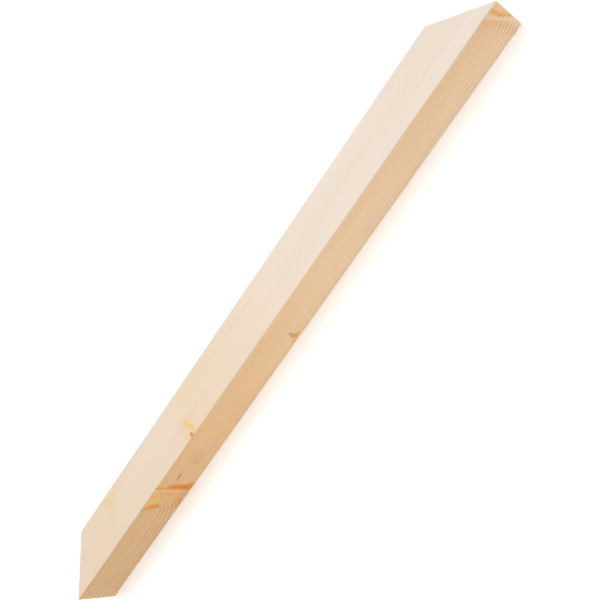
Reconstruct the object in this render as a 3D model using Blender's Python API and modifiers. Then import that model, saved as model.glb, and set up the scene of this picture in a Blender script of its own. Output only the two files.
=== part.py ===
"""A square softwood batten with both ends mitred at 45 degrees towards the same long face.

It is one piece of planed timber, in metres. The length runs along X, the long outer face looks
along -Y, the short inner face along +Y, and the batten lies on its lower cheek at z = 0.
The origin is the middle of the bounding box's bottom.
"""

import math

import bpy
from mathutils import Matrix, Vector

OBJECT_NAME = "mitred_batten"

SECTION = 0.045  # planed width and planed thickness
LONG_EDGE = 0.650  # length of the outer face, from mitre point to mitre point
MITRE_ANGLE = math.radians(45)  # between each sawn end and the long outer face
ARRIS_RADIUS = 0.0007  # what the planing mill takes off the four long edges
ARRIS_SEGMENTS = 3

STOCK_WASTE = 0.030  # stock left past each mitre point, which the saw removes
SAW_BLOCK = 3 * SECTION  # side of the block that stands for the waste side of a saw cut

SOFTWOOD_COLOUR = (0.80, 0.62, 0.42, 1.0)
SOFTWOOD_ROUGHNESS = 0.6


def clear_scene():
    """Removes every object, so the file holds the batten alone."""
    for obj in list(bpy.data.objects):
        bpy.data.objects.remove(obj, do_unlink=True)


def new_collection(name):
    """A collection of this name, linked to the scene."""
    collection = bpy.data.collections.new(name)
    bpy.context.scene.collection.children.link(collection)
    return collection


def move_to(collection, obj):
    """Takes obj out of the collections that hold it and puts it in this one."""
    for holder in list(obj.users_collection):
        holder.objects.unlink(obj)
    collection.objects.link(obj)


def softwood_material():
    """Planed pale softwood, bare and dull."""
    material = bpy.data.materials.new("planed_softwood")
    material.use_nodes = True
    shader = material.node_tree.nodes["Principled BSDF"]
    shader.inputs["Base Color"].default_value = SOFTWOOD_COLOUR
    shader.inputs["Roughness"].default_value = SOFTWOOD_ROUGHNESS
    shader.inputs["Metallic"].default_value = 0.0
    return material


def box(name, sides, place, collection):
    """A box with these three sides, centred and turned by the matrix place, its scale applied."""
    bpy.ops.mesh.primitive_cube_add(size=1.0)
    obj = bpy.context.object
    obj.name = name
    obj.data.name = name
    obj.data.transform(Matrix.Diagonal((*sides, 1.0)))
    obj.matrix_world = place
    move_to(collection, obj)
    return obj


def planed_stock(collection):
    """The square stock as it leaves the planer: over-long, with its four long edges eased."""
    length = LONG_EDGE + 2 * STOCK_WASTE
    place = Matrix.Translation((0.0, 0.0, SECTION / 2))
    stock = box(OBJECT_NAME, (length, SECTION, SECTION), place, collection)
    ease = stock.modifiers.new("eased_arrises", "BEVEL")
    ease.width = ARRIS_RADIUS
    ease.segments = ARRIS_SEGMENTS
    ease.limit_method = "ANGLE"
    stock.data.materials.append(softwood_material())
    return stock


def saw_waste(name, end, collection):
    """The waste side of one mitre cut. end is +1 at the +X end and -1 at the -X end.

    The block has one face on the plane of the cut, which starts at the mitre point on the outer
    face and leans back towards the middle of the batten as it crosses to the inner face.
    """
    outward = Vector((end * math.sin(MITRE_ANGLE), math.cos(MITRE_ANGLE), 0.0))
    across = Vector((-end * math.cos(MITRE_ANGLE), math.sin(MITRE_ANGLE), 0.0))
    mitre_point = Vector((end * LONG_EDGE / 2, -SECTION / 2, SECTION / 2))
    cut_middle = mitre_point + across * SECTION / (2 * math.sin(MITRE_ANGLE))
    centre = cut_middle + outward * SAW_BLOCK / 2
    turn = outward.to_track_quat("X", "Z").to_matrix().to_4x4()
    waste = box(name, (SAW_BLOCK,) * 3, Matrix.Translation(centre) @ turn, collection)
    waste.hide_render = True
    waste.display_type = "WIRE"
    return waste


def saw_off(stock, waste):
    """Takes the waste block away from the stock."""
    cut = stock.modifiers.new(waste.name, "BOOLEAN")
    cut.operation = "DIFFERENCE"
    cut.solver = "EXACT"
    cut.object = waste


clear_scene()
parts = new_collection(OBJECT_NAME)
cutters = new_collection("cutters")
batten = planed_stock(parts)
for cut_name, batten_end in (("mitre_cut_right", 1), ("mitre_cut_left", -1)):
    saw_off(batten, saw_waste(cut_name, batten_end, cutters))
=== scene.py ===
import math

import bpy
import numpy as np
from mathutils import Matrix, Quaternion, Vector


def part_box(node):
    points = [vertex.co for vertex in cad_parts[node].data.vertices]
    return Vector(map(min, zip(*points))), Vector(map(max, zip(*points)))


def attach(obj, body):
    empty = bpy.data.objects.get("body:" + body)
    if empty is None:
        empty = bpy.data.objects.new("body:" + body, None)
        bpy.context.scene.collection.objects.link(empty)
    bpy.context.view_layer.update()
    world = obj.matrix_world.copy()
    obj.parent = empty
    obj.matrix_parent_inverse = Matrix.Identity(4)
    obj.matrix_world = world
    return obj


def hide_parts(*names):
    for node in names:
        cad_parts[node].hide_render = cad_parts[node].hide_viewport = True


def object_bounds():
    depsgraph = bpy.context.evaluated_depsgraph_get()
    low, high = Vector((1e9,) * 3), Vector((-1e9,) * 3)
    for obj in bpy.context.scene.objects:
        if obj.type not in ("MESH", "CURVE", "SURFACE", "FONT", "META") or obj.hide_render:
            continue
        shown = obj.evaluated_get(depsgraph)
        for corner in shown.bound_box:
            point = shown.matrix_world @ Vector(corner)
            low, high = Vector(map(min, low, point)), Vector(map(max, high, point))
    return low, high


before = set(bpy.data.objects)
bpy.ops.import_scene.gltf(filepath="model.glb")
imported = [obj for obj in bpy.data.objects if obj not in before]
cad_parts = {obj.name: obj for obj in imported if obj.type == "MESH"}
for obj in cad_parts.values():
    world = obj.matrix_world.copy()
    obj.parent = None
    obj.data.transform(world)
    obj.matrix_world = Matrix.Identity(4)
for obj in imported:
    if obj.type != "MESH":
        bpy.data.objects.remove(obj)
cad_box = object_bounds()

# ---- Planed batten ------------------------------------------------------------------------
# The whole object is one stick of softwood, sawn from close beside the pith, planed square
# with lightly eased arrises, and crosscut at 45 degrees at both ends in opposite senses.
# It lies on its lower cheek, and its outer face is the long one between the mitres.

MM = 0.001
low, high = (np.array(corner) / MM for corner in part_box("mitred_batten"))
HALF_LENGTH = high[0]
HALF_SECTION = (high[2] - low[2]) / 2
OUTER_FACE = low[1]
INNER_FACE = high[1]
UPPER_CHEEK = high[2]
ARRIS_RADIUS = 0.7
END_EASE = 0.3
FLAT_STEPS, ARC_STEPS = 49, 2
ROWS = 424
CLOSE_ROWS, WIDE_ROWS = 0.75, 1.9
ROW_SAMPLES = 6501


def section_outline(half, radius, flat_steps, arc_steps):
    """One loop round a square with rounded corners, anticlockwise seen from +X, starting at
    the middle of the lower outer arris. One side is an eighth of a circle, a straight run and
    the next eighth short of its last point; the other sides are that one in quarter turns.
    Returns the loop's y and z about the square's centre, and its outward normal's y and z."""
    straight = half - radius
    arc_step = math.pi / 4 / arc_steps
    first_arc = -3 * math.pi / 4 + arc_step * np.arange(arc_steps + 1)
    last_arc = -math.pi / 2 + arc_step * np.arange(1, arc_steps)
    turn = np.concatenate([first_arc, np.full(flat_steps, -math.pi / 2), last_arc])
    run = np.linspace(-straight, straight, flat_steps + 1)[1:]
    first_centre = np.full(arc_steps + 1, -straight)
    last_centre = np.full(arc_steps - 1, straight)
    across = np.concatenate([first_centre, run, last_centre]) + radius * np.cos(turn)
    up = -straight + radius * np.sin(turn)
    quarter = np.arange(4)[:, None] * math.pi / 2
    loop_y = (across * np.cos(quarter) - up * np.sin(quarter)).ravel()
    loop_z = (across * np.sin(quarter) + up * np.cos(quarter)).ravel()
    normal = (turn + quarter).ravel()
    return loop_y, loop_z, np.cos(normal), np.sin(normal)


def row_places(count, reach, knots, close, wide):
    """Places of the cross sections along the stick, from -reach to reach: the running sum of
    one over the spacing, cut in equal shares. The spacing is close at each knot, which is a
    place and a half width, and wide elsewhere."""
    along = np.linspace(-reach, reach, ROW_SAMPLES)
    near_knot = sum(np.exp(-(((along - place) / half_width) ** 4)) for place, half_width in knots)
    spacing = wide - (wide - close) * np.clip(near_knot, 0, 1)
    shares = np.cumsum(1 / spacing)
    return np.interp(np.linspace(shares[0], shares[-1], count), shares, along)


# The skin between the mitres: every cross section is the same loop, drawn out along X and
# sheared so that the first and the last lie in the planes of the saw cuts. One smaller loop
# at each end, in the same plane, leaves the eased edge round the cut. The cross sections lie
# closer together at the knots.
SPIKE_KNOT, EDGE_KNOT, SMALL_KNOT, END_KNOT = -190.0, -118.5, 2.5, 316.0
knot_places = [(SPIKE_KNOT, 28), (EDGE_KNOT, 11), (SMALL_KNOT, 11), (END_KNOT, 14)]
outline = section_outline(HALF_SECTION, ARRIS_RADIUS, FLAT_STEPS, ARC_STEPS)
loop_y, loop_z, normal_y, normal_z = outline
rows = row_places(ROWS, HALF_LENGTH - END_EASE, knot_places, CLOSE_ROWS, WIDE_ROWS)
side = len(loop_y) // 4
mitre_reach = HALF_LENGTH - (loop_y - OUTER_FACE)
skin_x = rows[:, None] / rows[-1] * (mitre_reach - END_EASE)
skin_y = np.broadcast_to(loop_y, skin_x.shape)
skin_z = np.broadcast_to(loop_z, skin_x.shape)
inset = 1 - END_EASE / HALF_SECTION
inset_y, inset_z = inset * loop_y, inset * loop_z
inset_reach = HALF_LENGTH - (inset_y - OUTER_FACE)
grid_x = np.vstack([-inset_reach, skin_x, inset_reach])
grid_y = np.vstack([inset_y, skin_y, inset_y])
grid_z = np.vstack([inset_z, skin_z, inset_z])
skin = np.arange(grid_x.size).reshape(grid_x.shape)


def end_patch(loop):
    """A square patch whose rim is the loop: a Coons surface, the sum of the two blends of
    facing sides less the blend of the four corners. Returns the whole patch as a grid."""
    a = np.linspace(0, 1, side + 1)[:, None]
    b = a.T
    bottom = loop[: side + 1][:, None]
    right = loop[side : side * 2 + 1][None, :]
    top = loop[side * 2 : side * 3 + 1][::-1][:, None]
    left = np.append(loop[side * 3 :], loop[0])[::-1][None, :]
    start_corners = (1 - b) * bottom[0] + b * top[0]
    far_corners = (1 - b) * bottom[-1] + b * top[-1]
    corners = (1 - a) * start_corners + a * far_corners
    return (1 - b) * bottom + b * top + (1 - a) * left + a * right - corners


def end_numbers(loop_numbers, first_new):
    """The vertex numbers of an end patch: its rim's are the loop's, its inside has new ones."""
    numbers = np.rint(end_patch(loop_numbers.astype(float))).astype(int)
    numbers[1:-1, 1:-1] = first_new + np.arange((side - 1) ** 2).reshape(side - 1, side - 1)
    return numbers


def grid_faces(numbers):
    """Four-sided faces of a grid of vertex numbers: each cell's corners in turn."""
    here, right, far, left = numbers[:-1, :-1], numbers[1:, :-1], numbers[1:, 1:], numbers[:-1, 1:]
    return np.stack([here, right, far, left], axis=-1).reshape(-1, 4)


patch_y = end_patch(inset_y)[1:-1, 1:-1].ravel()
patch_z = end_patch(inset_z)[1:-1, 1:-1].ravel()
patch_x = HALF_LENGTH - (patch_y - OUTER_FACE)
far_end = end_numbers(skin[0], skin.size)
near_end = end_numbers(skin[-1], skin.size + patch_x.size)
closed_skin = np.hstack([skin, skin[:, :1]])
faces = np.vstack([
    grid_faces(closed_skin)[:, ::-1], grid_faces(near_end), grid_faces(far_end)[:, ::-1],
])


def ramp(value, start, end):
    """0 before start, 1 past end, and the smooth cubic 3t^2 - 2t^3 between; end may be lower."""
    share = np.clip((value - start) / (end - start), 0, 1)
    return share * share * (3 - 2 * share)


def between(value, edge, other_edge, blur):
    """1 between the two edges and 0 outside them, each edge softened over blur."""
    lower, upper = np.minimum(edge, other_edge), np.maximum(edge, other_edge)
    past_lower = ramp(value, lower - blur / 2, lower + blur / 2)
    return past_lower * ramp(value, upper + blur / 2, upper - blur / 2)


def spot(a, b, a_radius, b_radius):
    """A round-topped spot: exp(-(a/a_radius)^2 - (b/b_radius)^2)."""
    return np.exp(-((a / a_radius) ** 2) - (b / b_radius) ** 2)


def band(a, radius):
    """A round-topped band, the same all along its line: exp(-(a/radius)^2)."""
    return np.exp(-((a / radius) ** 2))


# Every point of the mesh, the outward normal of the face it is on, and where it lies: in from
# the outer face, down from the upper cheek and back from the near tip.
inside_end = np.concatenate([np.zeros(grid_x.size), np.ones(patch_x.size * 2)])
points_x = np.concatenate([grid_x.ravel(), -patch_x, patch_x])
points_y = np.concatenate([grid_y.ravel(), patch_y, patch_y])
points_z = np.concatenate([grid_z.ravel(), patch_z, patch_z]) + HALF_SECTION
flat_end = np.zeros(patch_x.size * 2)
face_y = np.concatenate([np.broadcast_to(normal_y, grid_x.shape).ravel(), flat_end])
face_z = np.concatenate([np.broadcast_to(normal_z, grid_x.shape).ravel(), flat_end])
on_end = np.zeros_like(grid_x)
on_end[[0, -1]] = 1
on_end = np.concatenate([on_end.ravel(), np.ones(patch_x.size * 2)])
from_outer = points_y - OUTER_FACE
from_cheek = UPPER_CHEEK - points_z
from_end = HALF_LENGTH - points_x
on_outer = ramp(from_outer, 0.5, 0.12)
on_cheek = ramp(from_cheek, 0.9, 0.1) * (1 - on_end)

# The tree in the stick. The pith ran almost in line with the outer face, a little below the
# lower cheek, so the outer face cuts the year rings square, in straight lines, and the upper
# cheek cuts them nearly flat.
PITH_Y, PITH_Z = -24.0, -25.0
YOUNG_RING, OLD_RING = 4.6, 2.3
SLOWED_AT, SLOWED_OVER = 58.0, 3.0
A_RING_AT = 52.4
A_RING_NUMBER = 40
WIDE_RING = 5.25
WIDE_RING_AT = 48.88


def narrowing_rings(radius):
    """Ring number at a distance from the pith: the integral of one over the ring's width. That
    goes from one over YOUNG_RING to one over OLD_RING, round SLOWED_AT, by the logistic step
    1 - 2 / (2 + e^step)."""
    step = (radius - SLOWED_AT) / SLOWED_OVER
    narrowed = 1 - OLD_RING / YOUNG_RING
    return (radius - narrowed * SLOWED_OVER * (step - np.log(2 + np.exp(step)))) / OLD_RING


def ring_number(x, y, z):
    """Number of the year ring at a point, counted outwards: the distance from the pith, less
    a swelling where a branch leaves the stem, over the rings' width. The swelling is an
    exponential towards the end knot and one towards the spike knot, with slow ramps elsewhere,
    and it fades inwards. Past the spike knot the rings are even and wide."""
    depth = y - OUTER_FACE
    fade = np.exp(-depth / 30)
    sway = 1.6 * np.sin(x / 95) * ramp(y, OUTER_FACE, INNER_FACE)
    radius = np.hypot(y - PITH_Y - sway, z - PITH_Z)
    near_swelling = 9.8 * np.exp(-(HALF_LENGTH - x) / 20) - ramp(x, 260, 0) + 3 * ramp(x, -32, -130)
    narrowing = narrowing_rings(radius - near_swelling * fade) - narrowing_rings(A_RING_AT)
    hook = (x + 205) / 9
    far_swelling = 5.5 * np.exp(np.minimum(hook, 0.55)) * (1 + np.clip(hook - 0.55, 0, 3))
    far_swelling = far_swelling + 4.5 * ramp(x, -234, -325)
    wide = (radius - far_swelling * fade - WIDE_RING_AT) / WIDE_RING - 1
    change_at, change_over = SPIKE_KNOT + 4, 5 + 1.6 * depth
    past_spike = ramp(x, change_at + change_over, change_at - change_over)
    waver = 0.05 * np.sin(x / 21 + radius / 4) + 0.03 * np.sin(x / 8.3 - radius / 2.7)
    return narrowing + (wide - narrowing) * past_spike + waver + A_RING_NUMBER


# How strongly the rings show: by the place along the outer face, faintly on the upper cheek,
# by how squarely they cut the rings on the inner face and the lower cheek, and fully on the
# sawn ends.
ring = ring_number(points_x, points_y, points_z)
radial_y, radial_z = points_y - PITH_Y, points_z - PITH_Z
along_radius = (radial_y * face_y + radial_z * face_z) / np.hypot(radial_y, radial_z)
cut_square = 1 - along_radius**2
outer_show = (
    0.16
    + 0.23 * ramp(points_x, 60, 130)
    + 0.20 * ramp(points_x, -30, -80)
    + 0.37 * ramp(points_x, -190, -214)
    - 0.13 * ramp(points_x, -246, -260)
    + 0.32 * ramp(points_x, -284, -302)
)
inner_show = (0.10 + 0.45 * ramp(from_outer, 35, 44)) * np.sqrt(cut_square)
lower_show = 0.5 * np.sqrt(cut_square)
cheek_show = 0.12 * cut_square * ramp(points_x, -150, -120)
ring_show = outer_show * on_outer + inner_show * (1 - on_outer)
ring_show = ring_show * (1 - on_cheek) + cheek_show * on_cheek
ring_show = np.where(points_z < 1, lower_show, ring_show)
ring_show = ring_show * (1 - on_end) + on_end

# Spike knot: a branch split along its length by the outer face, as a long wedge that widens
# upwards. Its near border is soaked with resin, its far border is dark above and ends in a
# swirl of rings below, and its own wood is a warm tan with straight streaks. An outline here
# is a list of heights up the face, and the outline's distances from the knot at them, and a
# small waver keeps it from running ruler-straight.
edge_waver = 0.35 * np.sin(points_z / 2.3) + 0.25 * np.sin(points_z / 1.1 + 2)
from_spike = points_x - SPIKE_KNOT
wedge_near = np.interp(points_z, [0, 4, 30, 45], [10.6, 8.0, 8.1, 7.0])
wedge_near = wedge_near + 0.3 * edge_waver
wedge_far = np.interp(points_z, [0, 8, 14, 25, 33, 45], [1.0, -0.5, -4.0, -14.4, -16.8, -19.4])
wedge_far = wedge_far + 0.7 * edge_waver
rim_outside = np.interp(points_z, [0, 6, 14, 27, 32, 45], [19.0, 16.6, 15.0, 14.6, 12.0, 11.9])
rim_outside = rim_outside + 0.9 * edge_waver
rim_core = np.interp(points_z, [0, 5, 14, 30, 45], [13.0, 10.6, 11.4, 10.6, 8.7])
spike_wood = between(from_spike, wedge_far, wedge_near, 1.4) * on_outer

inside_rim = ramp(from_spike, rim_outside + 1.5, rim_outside - 1.5)
near_rim = between(from_spike, wedge_near, wedge_near + 3, 1.2) * inside_rim
near_rim = np.where(from_spike > wedge_near + 2, inside_rim, near_rim) * on_outer
rim_top = spot(from_spike - 8.5, points_z - 45, 1.2, 10) * on_outer
rim_amber = band(from_spike - rim_core, 2.3) * ramp(points_z, 34, 29)
rim_amber = (rim_amber + 0.3 * ramp(points_z, 33, 28)) * near_rim + 0.85 * rim_top
rim_beads = 0.6 + 0.4 * np.sin(points_z * 2.1)
rim_dark = spot(from_spike - rim_core, points_z - 12.5, 1.0, 7.5) * rim_beads * near_rim

far_rim = between(from_spike, wedge_far, -11.6, 1.5) * ramp(points_z, 23, 27.5) * on_outer
far_line = band(from_spike - wedge_far - 0.9, 0.9) * far_rim
far_amber = (0.45 + 0.5 * ramp(points_z, 41, 35)) * (0.85 * far_rim + 0.35 * far_line)
far_dark = 0.75 * far_line * (0.6 + 0.4 * np.sin(points_z * 1.7))

low_swirl = spot(from_spike + 7.0, points_z - 6.5, 7.5, 6.0)
high_swirl = spot(from_spike + 16, points_z - 16, 6.0, 8.5)
spike_swirl = np.minimum(1.2 * (low_swirl + 0.7 * high_swirl), 1)
spike_swirl = spike_swirl * on_outer * (1 - 0.85 * spike_wood)
swirl_gold = spot(from_spike + 8.5, points_z - 4.5, 6.5, 4.0) * on_outer * (1 - 0.6 * spike_wood)

spike_pink = 0.8 * band(from_spike - 2.0, 1.3) + 0.6 * spot(from_spike + 1.4, points_z - 5, 1.5, 14)
gold_streak = np.interp(points_z, [8, 25, 45], [-0.5, -1.3, -3.8])
spike_streaks = 0.75 * spot(from_spike - gold_streak, points_z - 30, 1.3, 16)
spike_streaks = spike_streaks + 0.3 * band(from_spike - 3.6, 0.8)
spike_streaks = spike_streaks + 0.4 * ramp(points_z, 28, 38) * band(from_spike + 4.0, 2.3)
grey_streak = np.interp(points_z, [10, 25, 40], [-2.0, -2.6, -5.6])
spike_grey = 0.6 * band(from_spike - grey_streak, 0.9) * ramp(points_z, 12, 22)
spike_grey = spike_grey + 0.9 * band(from_spike - 5.4, 1.2)
spike_pink, spike_streaks, spike_grey = (
    field * spike_wood for field in (spike_pink, spike_streaks, spike_grey)
)

# Knot at the near end: a branch that the mitre cut through, with a gold border slanting down
# to the end, a pale band round it, and rings crowded together beyond. The branch lay outside
# the outer face, so the mitre shows only a thin slice of it along its outer edge.
border_heights = [15, 19, 24, 28, 33, 38, 45]
border = np.interp(points_z, border_heights, [-1.0, 0.6, 3.3, 5.2, 7.0, 7.8, 7.9])
end_knot_wood = ramp(from_end - border, 0.5, -0.5) * ramp(points_z, 17, 20) * on_outer
end_knot_gold = band(from_end - border - 0.3 + 0.3 * edge_waver, 2.0)
end_knot_gold = end_knot_gold * ramp(points_z, 15, 21) * on_outer
end_knot_amber = band(from_end - border + 0.4 * edge_waver, 1.1)
end_knot_amber = end_knot_amber * ramp(points_z, 17, 30) * on_outer
past_band = from_end - np.interp(points_z, [15, 43], [3.2, 14.0])
end_knot_pale = band(past_band, 1.5) * ramp(points_z, 8, 16) * on_outer
end_knot_red = np.exp(-np.abs(past_band - 5) / 6) * ramp(past_band, 0, 2) * on_outer
slice_depth = np.maximum(0.45 * border, 0)
on_near_cut = on_end * (points_x > 0) * ramp(points_z, 17, 20)
slice_wood = ramp(from_outer, slice_depth + 0.7, slice_depth - 0.7) * on_near_cut
slice_rim = band(from_outer - slice_depth + 0.3 * edge_waver, 1.3) * on_near_cut

# Edge knot: a small branch that comes out along the upper outer arris and shows on the
# cheek as a half oval: a gold arm on either side of a red-orange middle.
knot_x = points_x - EDGE_KNOT
near_arm = np.interp(from_outer, [0, 7, 9.5, 16], [5.2, 5.3, 4.2, 2.2])
near_arm = near_arm + 0.25 * np.sin(from_outer * 1.3)
far_arm = np.interp(from_outer, [0, 9, 14], [-4.6, -5.0, -3.8])
near_gold = band(knot_x - near_arm, 2.0) * ramp(from_outer, 17.5, 15.5)
far_gold = band(knot_x - far_arm, 1.7) * ramp(from_outer, 14.5, 12.0)
edge_gold = (near_gold + 0.6 * far_gold) * on_cheek
arm_amber = 0.35 * spot(knot_x - near_arm - 0.9, from_outer - 8.4, 1.1, 2.2)
tip_amber = 0.3 * spot(knot_x - 2.5, from_outer - 15, 1.2, 1.1)
middle_amber = 0.85 * ramp(np.abs(knot_x - 0.8) / 3.0 + from_outer / 5.6, 1.1, 0.75)
over_arris = np.maximum(on_cheek, 0.8 * np.exp(-from_cheek / 0.8) * on_outer)
edge_amber = (arm_amber + tip_amber + middle_amber) * over_arris
edge_oval = np.hypot(knot_x / 6.3, from_outer / 16.5)
edge_wood = ramp(edge_oval, 1.05, 0.8) * on_cheek
edge_pink = 0.5 * spot(knot_x + 7.2, from_outer - 10, 1.0, 3.5) + 0.25 * band(edge_oval - 1.2, 0.10)
edge_pink = edge_pink * on_cheek

# Small knot: the tip of a branch at the lower outer arris, gold lobes under one dark twig.
knot_x = points_x - SMALL_KNOT
wide_lobe = ramp(np.abs(knot_x - 2.0) / 8.0 + points_z / 17.5, 1.1, 0.55)
wide_lobe = 0.5 * wide_lobe * ramp(points_z, 0.5, 3.5)
upper_lobe = 0.55 * spot(knot_x + 0.4, points_z - 8.5, 1.3, 3.2)
side_lobe = 0.5 * spot(knot_x + 5.2, points_z - 3.8, 2.2, 1.9)
small_gold = np.maximum(np.maximum(wide_lobe, upper_lobe), side_lobe) * on_outer
small_amber = 0.35 * spot(knot_x - 4.6, points_z - 4.2, 1.8, 1.8)
small_amber = small_amber + 0.35 * spot(knot_x - 1.9, points_z - 6.5, 1.0, 2.4)
small_amber = small_amber + 0.55 * spot(knot_x + 0.2, points_z - 8.6, 1.1, 2.6)
small_amber = (small_amber + 0.75 * spot(knot_x - 1.7, points_z - 12.8, 1.4, 2.4)) * on_outer
small_twig = 0.6 * spot(knot_x - 1.7, points_z - 12.9, 0.8, 1.5) * on_outer

# Resin pocket, a short lens full of dried resin, and the stains that resin left elsewhere.
POCKET_X, POCKET_Z = -165.8, 26.5
pocket_x, pocket_z = points_x - POCKET_X, points_z - POCKET_Z
pocket_tails = spot(pocket_x + 0.6, pocket_z, 6.5, 0.8)
resin_pocket = np.minimum(1.2 * spot(pocket_x, pocket_z, 3.2, 1.05) + 0.3 * pocket_tails, 1)
resin_pocket = resin_pocket * on_outer
pocket_halo = spot(pocket_x, pocket_z, 5.5, 2.4) * on_outer
brown_stain = spot(points_x + 148, points_z - 16.5, 7.5, 4.6)
brown_stain = (brown_stain + 0.5 * spot(points_x + 142, points_z - 25, 12, 6)) * on_outer
amber_stain = spot(points_x + 235, points_y - 11, 8, 11)
amber_stain = amber_stain + 0.5 * spot(points_x + 218, points_y - 17.5, 15, 6)
amber_stain = (amber_stain + 0.4 * spot(points_x + 91, points_y - 9, 26, 5.5)) * on_cheek


def branch(root_x, lean, rise, girth):
    """A branch from the pith: distance from its axis over its radius there, which grows as
    girth times the distance out. rise is its angle above the inner face's normal."""
    axis = np.array([lean, math.cos(math.radians(rise)), math.sin(math.radians(rise))])
    axis = axis / np.linalg.norm(axis)
    away = np.stack([points_x - root_x, radial_y, radial_z], axis=-1)
    out = away @ axis
    return np.linalg.norm(away - out[:, None] * axis, axis=-1) / np.maximum(girth * out, 0.5)


# Hidden branches of the same whorls, which leave the pith towards the inner face. The rings
# bend round each, and a branch has rings of its own, numbered from KNOT_RING.
KNOT_RING = 60
large_branch = branch(root_x=-183, lean=-0.14, rise=35, girth=0.10)
small_branch = branch(root_x=118, lean=0.12, rise=28, girth=0.055)
whorl = np.minimum(large_branch, small_branch)
hidden_face = ramp(from_outer, 10, 20) * ramp(from_cheek, 2, 8)
whorl_wood = ramp(whorl, 1.02, 0.9) * hidden_face
whorl_rim = band(whorl - 1.0, 0.16) * hidden_face
whorl_heart = band(whorl, 0.35) * hidden_face
wedge_middle, wedge_half = (wedge_near + wedge_far) / 2, (wedge_near - wedge_far) / 2
ring = ring - 1.1 * np.exp(-np.maximum(whorl - 1, 0) / 1.3) * hidden_face
ring = np.where(whorl < 1, KNOT_RING + 5 * whorl, ring)
spike_ring = KNOT_RING + 3 * np.abs(from_spike - wedge_middle) / wedge_half
ring = np.where(spike_wood > 0.5, spike_ring, ring)

# The knots' fields put together, each from 0 to 1: gold and amber resin, dark bark and heart,
# the branch's own wood, and the pink and grey casts of the wood in it and round it.
gold = (
    0.95 * near_rim + spike_streaks + far_rim + 0.5 * swirl_gold
    + 0.75 * end_knot_gold + 0.18 * end_knot_wood + 0.75 * slice_rim
    + 0.95 * edge_gold + small_gold + 0.6 * whorl_rim + 0.6 * whorl_wood
)
amber = (
    rim_amber + far_amber + 0.25 * swirl_gold + 0.38 * end_knot_amber + 0.3 * slice_rim
    + edge_amber + small_amber + 0.7 * whorl_rim + 0.3 * whorl_wood
)
dark = 0.9 * rim_dark + small_twig + far_dark + 0.45 * whorl_heart
knot_wood = spike_wood + 0.16 * end_knot_wood + 0.8 * slice_wood + 0.15 * edge_wood + whorl_wood
pink = spike_pink + 0.8 * end_knot_red + 0.55 * spike_swirl + edge_pink + 0.5 * pocket_halo
grey = 0.5 * spike_grey + 0.8 * end_knot_pale
gold, amber, dark, knot_wood, pink, grey = (
    np.clip(field, 0, 1) for field in (gold, amber, dark, knot_wood, pink, grey)
)
stained_rings = 0.75 * spike_swirl + 0.3 * end_knot_red
crowded_show = (0.35 + 0.55 * ramp(points_z, 34, 22)) * end_knot_red
ring_show = ring_show * (1 - slice_wood) + 0.2 * knot_wood + crowded_show + 0.5 * spike_swirl

# Relief, in millimetres along the face's normal: late wood stands a little proud of early
# wood after planing, knots stand proud of both, resin shrinks back, and the planed faces are
# very slightly uneven. The ends carry the arcs of the saw blade's teeth.
BLADE_RADIUS, BLADE_DEPTH, BLADE_PITCH = 128.0, 0.05, 2.1
END_SINK = 0.05
late_wood = ramp(ring % 1, 0.45, 0.9) * ramp(ring % 1, 1.0, 0.96)
relief = 0.035 * late_wood * np.clip(ring_show, 0, 1) + 0.05 * knot_wood
relief = relief - 0.10 * amber - 0.12 * dark - 0.25 * resin_pocket
unevenness = np.sin(points_x / 61 + points_z / 17) * np.sin(points_y / 13 + points_x / 97)
relief = (relief + 0.03 * unevenness) * (1 - on_end)
blade_distance = np.hypot(np.abs(points_x) - HALF_LENGTH + 30, points_z - BLADE_RADIUS)
blade_marks = BLADE_DEPTH * np.sin(blade_distance * 2 * math.pi / BLADE_PITCH)
end_relief = inside_end * (blade_marks + 0.04 * late_wood - END_SINK) * math.sqrt(0.5)
points = MM * np.stack([
    points_x + np.sign(points_x) * end_relief,
    points_y + face_y * relief + end_relief,
    points_z + face_z * relief,
], axis=-1)

batten_mesh = bpy.data.meshes.new("planed_batten")
batten_mesh.vertices.add(len(points))
batten_mesh.vertices.foreach_set("co", points.astype(np.float32).ravel())
batten_mesh.loops.add(faces.size)
batten_mesh.loops.foreach_set("vertex_index", faces.astype(np.int32).ravel())
batten_mesh.polygons.add(len(faces))
batten_mesh.polygons.foreach_set("loop_start", np.arange(0, faces.size, 4, dtype=np.int32))
batten_mesh.update(calc_edges=True)
batten_mesh.shade_smooth()
batten_mesh.set_sharp_from_angle(angle=math.radians(32))

# Painted shade over the wood's ground colour: yellower and then darker towards the far end, where the
# light falls off along the batten, and darker and warmer towards the upper arris of the outer face.
# Less of the painted yellow shade on a stretch of the upper cheek.
pale_cheek = ramp(points_x, -112, -135) * ramp(points_x, -262, -225)
far_yellow_shade = ramp(points_x, 120, -90) * (1 - (0.28 + 0.22 * pale_cheek) * on_cheek)
shade = ramp(points_x, -40, -325) * (1 - 0.72 * on_cheek)
# Painted shade: darker and warmer towards the upper arris of the outer face, less so on the end
# knot's wood.
upper_painted_shade = ramp(points_z, 2, 41) * (0.6 + 0.3 * ramp(points_x, 90, 290))
upper_painted_shade = upper_painted_shade * on_outer * (1 - 0.75 * end_knot_wood)
for name, values in {
    "ring": ring, "ring_show": ring_show, "cheek": on_cheek, "end_grain": on_end,
    "far_yellow_shade": far_yellow_shade, "shade": shade, "upper_painted_shade": upper_painted_shade,
    "knot_wood": knot_wood, "gold": gold, "amber": amber, "dark": dark,
    "pink": pink, "grey": grey, "stained_rings": stained_rings,
    "resin_pocket": resin_pocket, "brown_stain": brown_stain, "amber_stain": amber_stain,
}.items():
    field = batten_mesh.attributes.new(name, "FLOAT", "POINT")
    field.data.foreach_set("value", values.astype(np.float32))

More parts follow.
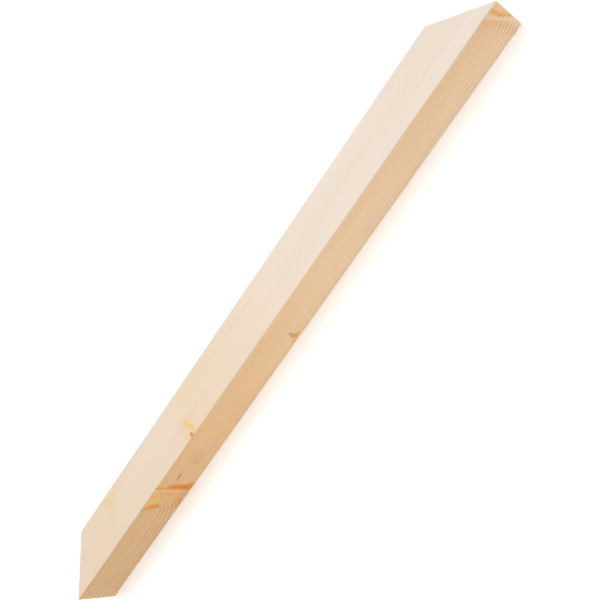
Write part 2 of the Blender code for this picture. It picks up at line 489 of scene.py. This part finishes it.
# Planed softwood: pale early wood and tan late wood from the ring number, fibres drawn out
# along the stick, and the knots' and stains' colours laid over by their fields.
softwood = bpy.data.materials.new("planed_softwood")
softwood.use_nodes = True
nodes, links = softwood.node_tree.nodes, softwood.node_tree.links
nodes.clear()


def join(value, socket):
    """Puts a socket's link, or a plain number or colour, into a node's input."""
    if isinstance(value, bpy.types.NodeSocket):
        links.new(value, socket)
    elif isinstance(value, tuple):
        socket.default_value = value + (1,) if socket.type == "RGBA" else value
    else:
        socket.default_value = value


def field_of(name):
    """One of the batten's own fields, read at the point that is shaded."""
    reader = nodes.new("ShaderNodeAttribute")
    reader.attribute_name = name
    return reader.outputs["Fac"]


def maths(operation, *values):
    """A Math node's result for one or two values."""
    node = nodes.new("ShaderNodeMath")
    node.operation = operation
    for value, socket in zip(values, node.inputs):
        join(value, socket)
    return node.outputs[0]


def spread(value, from_low, from_high, to_low, to_high):
    """A value carried smoothly from one range to another and held inside it."""
    node = nodes.new("ShaderNodeMapRange")
    node.interpolation_type = "SMOOTHSTEP"
    for number, socket in zip((value, from_low, from_high, to_low, to_high), node.inputs):
        join(number, socket)
    return node.outputs["Result"]


def grain_noise(along, across, detail, roughness):
    """Noise drawn out along the stick: along and across are features per metre."""
    stretch = nodes.new("ShaderNodeMapping")
    join((along, across, across), stretch.inputs["Scale"])
    links.new(place, stretch.inputs["Vector"])
    noise = nodes.new("ShaderNodeTexNoise")
    links.new(stretch.outputs["Vector"], noise.inputs["Vector"])
    join(1.0, noise.inputs["Scale"])
    join(detail, noise.inputs["Detail"])
    join(roughness, noise.inputs["Roughness"])
    return noise.outputs["Fac"]


def blend_colour(kind, factor, under, over):
    """The under colour with the over colour mixed or multiplied in by a factor."""
    node = nodes.new("ShaderNodeMix")
    node.data_type = "RGBA"
    node.blend_type = kind
    join(factor, node.inputs["Factor"])
    join(under, node.inputs["A"])
    join(over, node.inputs["B"])
    return node.outputs["Result"]


place = nodes.new("ShaderNodeTexCoord").outputs["Object"]
fibre = grain_noise(along=14, across=900, detail=3, roughness=0.6)
fine_fibre = grain_noise(along=70, across=4200, detail=2, roughness=0.5)
drift = grain_noise(along=9, across=60, detail=2, roughness=0.5)
speckle = grain_noise(along=700, across=700, detail=3, roughness=0.6)
branch_fibre = grain_noise(along=750, across=55, detail=3, roughness=0.6)
mottle = grain_noise(along=150, across=520, detail=2, roughness=0.55)

# Each year's late wood darkens slowly and stops sharply, and no two years are equally dark.
years = maths("ADD", field_of("ring"), maths("MULTIPLY", maths("SUBTRACT", drift, 0.5), 0.35))
season = maths("FRACT", years)
late = maths("MULTIPLY", spread(season, 0.42, 0.92, 0, 1), spread(season, 1.0, 0.95, 0, 1))
year_noise = nodes.new("ShaderNodeTexWhiteNoise")
year_noise.noise_dimensions = "1D"
join(maths("FLOOR", years), year_noise.inputs["W"])
year_share = spread(year_noise.outputs["Value"], 0, 1, 0.65, 1.2)
ring_factor = maths("MULTIPLY", maths("MULTIPLY", late, year_share), field_of("ring_show"))

# Linear colours. The woods and resins are mixed in, and the tints are multiplied in. The upper
# cheek's wood colour is partly painted sheen of the brightly lit top face.
OUTER_WOOD, CHEEK_WOOD_AND_SHEEN, END_WOOD = (0.688, 0.512, 0.338), (0.655, 0.562, 0.478), (0.60, 0.42, 0.25)
BRANCH_WOOD, STAINED_RING, GREY_WOOD = (0.605, 0.378, 0.160), (0.54, 0.235, 0.085), (0.66, 0.49, 0.33)
OUTER_GOLD, CHEEK_GOLD = (0.605, 0.302, 0.062), (0.70, 0.44, 0.14)
AMBER_RESIN, DARK_RESIN = (0.555, 0.190, 0.008), (0.38, 0.090, 0.010)
DRIED_RESIN = (0.365, 0.135, 0.042)
# The next three tints are painted shade: yellower and darker towards the far end, and warmer towards
# the upper arris of the outer face.
YELLOW_SHADE, SHADED, WARM_SHADE = (0.965, 0.875, 0.71), (0.84, 0.81, 0.79), (0.88, 0.80, 0.70)
LATE_TINT, STREAK_TINT = (0.81, 0.67, 0.47), (0.93, 0.86, 0.72)
FIBRE_TINT, DRIFT_TINT, SAWN_TINT = (0.95, 0.935, 0.91), (0.98, 0.965, 0.95), (0.8, 0.74, 0.66)
AMBER_TINT, BROWN_TINT, PINK_TINT = (1.0, 0.945, 0.77), (0.96, 0.90, 0.79), (1.0, 0.91, 0.81)

# The upper cheek is paler and less yellow than the outer face: partly its own wood, partly painted
# sheen of the lit top face.
colour = blend_colour("MIX", field_of("cheek"), OUTER_WOOD, CHEEK_WOOD_AND_SHEEN)
colour = blend_colour("MIX", field_of("end_grain"), colour, END_WOOD)
# Painted shade: yellower and then darker towards the far end, and darker and warmer up the outer
# face.
colour = blend_colour("MULTIPLY", field_of("far_yellow_shade"), colour, YELLOW_SHADE)
colour = blend_colour("MULTIPLY", field_of("shade"), colour, SHADED)
colour = blend_colour("MULTIPLY", field_of("upper_painted_shade"), colour, WARM_SHADE)
colour = blend_colour("MIX", field_of("knot_wood"), colour, BRANCH_WOOD)
branch_streak = maths("MULTIPLY", spread(branch_fibre, 0.38, 0.62, 0, 1), field_of("knot_wood"))
colour = blend_colour("MULTIPLY", branch_streak, colour, STREAK_TINT)
colour = blend_colour("MULTIPLY", ring_factor, colour, LATE_TINT)
stained_late = maths("MULTIPLY", late, field_of("stained_rings"))
colour = blend_colour("MIX", stained_late, colour, STAINED_RING)
fibre_show = spread(field_of("cheek"), 0, 1, 1, 0.6)
fibre_share = maths("MULTIPLY", spread(fibre, 0.35, 0.7, 0, 1), fibre_show)
colour = blend_colour("MULTIPLY", fibre_share, colour, FIBRE_TINT)
colour = blend_colour("MULTIPLY", spread(drift, 0.3, 0.7, 0, 1), colour, DRIFT_TINT)
end_speckle = maths("MULTIPLY", field_of("end_grain"), speckle)
colour = blend_colour("MULTIPLY", end_speckle, colour, SAWN_TINT)
colour = blend_colour("MULTIPLY", field_of("amber_stain"), colour, AMBER_TINT)
colour = blend_colour("MULTIPLY", field_of("brown_stain"), colour, BROWN_TINT)
colour = blend_colour("MULTIPLY", field_of("pink"), colour, PINK_TINT)
colour = blend_colour("MIX", maths("MULTIPLY", field_of("grey"), 0.6), colour, GREY_WOOD)


def ragged(name):
    """A field whose edge is broken up by the fibres, as colour creeps along them."""
    creep = maths("ADD", maths("MULTIPLY", fibre, 0.5), maths("MULTIPLY", mottle, 1.1))
    pushed = maths("ADD", field_of(name), maths("SUBTRACT", creep, 0.8))
    near_field = spread(field_of(name), 0.0, 0.1, 0, 1)
    return maths("MULTIPLY", spread(pushed, 0.0, 0.85, 0, 1), near_field)


gold_resin = blend_colour("MIX", field_of("cheek"), OUTER_GOLD, CHEEK_GOLD)
colour = blend_colour("MIX", ragged("gold"), colour, gold_resin)
colour = blend_colour("MIX", ragged("amber"), colour, AMBER_RESIN)
colour = blend_colour("MIX", ragged("dark"), colour, DARK_RESIN)
colour = blend_colour("MIX", field_of("resin_pocket"), colour, DRIED_RESIN)

# The planed faces have a dull sheen, the knots shine more, and the sawn ends hardly at all.
shader = nodes.new("ShaderNodeBsdfPrincipled")
output = nodes.new("ShaderNodeOutputMaterial")
links.new(shader.outputs["BSDF"], output.inputs["Surface"])
links.new(colour, shader.inputs["Base Color"])
dullness = spread(fibre, 0.3, 0.7, 0.50, 0.60)
dullness = maths("ADD", dullness, maths("MULTIPLY", field_of("end_grain"), 0.2))
dullness = maths("SUBTRACT", dullness, maths("MULTIPLY", field_of("knot_wood"), 0.12))
links.new(dullness, shader.inputs["Roughness"])
join(1.5, shader.inputs["IOR"])
height = maths("ADD", maths("MULTIPLY", fine_fibre, 0.5), maths("MULTIPLY", fibre, 0.6))
height = maths("ADD", height, maths("MULTIPLY", ring_factor, 0.5))
bump = nodes.new("ShaderNodeBump")
join(0.35, bump.inputs["Strength"])
join(0.12 * MM, bump.inputs["Distance"])
links.new(height, bump.inputs["Height"])
links.new(bump.outputs["Normal"], shader.inputs["Normal"])

batten = bpy.data.objects.new("planed_batten", batten_mesh)
bpy.context.scene.collection.objects.link(batten)
batten_mesh.materials.append(softwood)
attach(batten, "root")
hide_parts("mitred_batten")

# ---- Floor --------------------------------------------------------------------------------
# A wide white matt sheet under the batten, so large and so evenly lit that its far edge
# can't be told from the white sky.

FLOOR_HALF = 9.0
FLOOR_STEPS = 7
WHITE_PAINT = (0.97, 0.97, 0.97, 1)
floor_line = np.linspace(-FLOOR_HALF, FLOOR_HALF, FLOOR_STEPS)
floor_x, floor_y = np.meshgrid(floor_line, floor_line, indexing="ij")
floor_points = np.stack([floor_x, floor_y, np.zeros_like(floor_x)], axis=-1).reshape(-1, 3)
floor_numbers = np.arange(FLOOR_STEPS**2).reshape(FLOOR_STEPS, FLOOR_STEPS)
floor_mesh = bpy.data.meshes.new("floor")
floor_mesh.from_pydata(floor_points.tolist(), [], grid_faces(floor_numbers).tolist())
floor_paint = bpy.data.materials.new("white_sheet")
floor_paint.use_nodes = True
floor_shader = floor_paint.node_tree.nodes["Principled BSDF"]
floor_shader.inputs["Base Color"].default_value = WHITE_PAINT
floor_shader.inputs["Roughness"].default_value = 1.0
floor_shader.inputs["Specular IOR Level"].default_value = 0.0
floor_mesh.materials.append(floor_paint)
floor = bpy.data.objects.new("floor", floor_mesh)
bpy.context.scene.collection.objects.link(floor)

# ---- Light --------------------------------------------------------------------------------
# A white sky all round, and two large soft boxes: one high behind the cheek, which gives
# it its sheen, and one in front of the outer face.

SKY_STRENGTH = 1.1
middle = (Vector(cad_box[0]) + Vector(cad_box[1])) / 2


def direction(azimuth, elevation):
    """The unit vector that points away from the batten: azimuth 0 is in front, at -Y, and 90
    is at +X; both angles are in degrees."""
    turn, tilt = math.radians(azimuth), math.radians(elevation)
    level = math.cos(tilt)
    return Vector((math.sin(turn) * level, -math.cos(turn) * level, math.sin(tilt)))


def soft_box(name, azimuth, elevation, distance, width, watts):
    """A square area light of that width that faces the batten's middle from a direction."""
    away = direction(azimuth, elevation)
    lamp = bpy.data.lights.new(name, "AREA")
    lamp.shape = "SQUARE"
    lamp.size = width
    lamp.energy = watts
    box = bpy.data.objects.new(name, lamp)
    box.location = middle + away * distance
    box.rotation_mode = "QUATERNION"
    box.rotation_quaternion = away.to_track_quat("Z", "Y")
    bpy.context.scene.collection.objects.link(box)


soft_box("high_soft_box", azimuth=205, elevation=68, distance=2.4, width=1.8, watts=15.5)
soft_box("front_soft_box", azimuth=-10, elevation=13, distance=2.4, width=1.8, watts=6.5)
sky = bpy.data.worlds.new("white_sky")
sky.use_nodes = True
sky.node_tree.nodes["Background"].inputs["Color"].default_value = (1, 1, 1, 1)
sky.node_tree.nodes["Background"].inputs["Strength"].default_value = SKY_STRENGTH
bpy.context.scene.world = sky
bpy.context.scene.view_settings.view_transform = "Standard"
bpy.context.scene.view_settings.look = "None"

# ---- Camera -------------------------------------------------------------------------------
# A short telephoto that looks down on the cheek and the outer face, turned on its side so
# that the batten runs from corner to corner.

CAMERA_AZIMUTH, CAMERA_ELEVATION, CAMERA_ROLL = 24.83, 50.50, 74.58
CAMERA_DISTANCE = 0.8135
CAMERA_LENS, CAMERA_FILM = 56.32, 36
CAMERA_AIM = Vector((0.0357, -0.0165, 0.0225))
back = direction(CAMERA_AZIMUTH, CAMERA_ELEVATION)
camera_data = bpy.data.cameras.new("camera")
camera_data.lens = CAMERA_LENS
camera_data.sensor_width = CAMERA_FILM
camera_data.clip_start = 0.01
camera = bpy.data.objects.new("camera", camera_data)
camera.location = CAMERA_AIM + back * CAMERA_DISTANCE
camera.rotation_mode = "QUATERNION"
upright = (-back).to_track_quat("-Z", "Y")
camera.rotation_quaternion = upright @ Quaternion((0, 0, 1), math.radians(-CAMERA_ROLL))
bpy.context.scene.collection.objects.link(camera)
bpy.context.scene.camera = camera
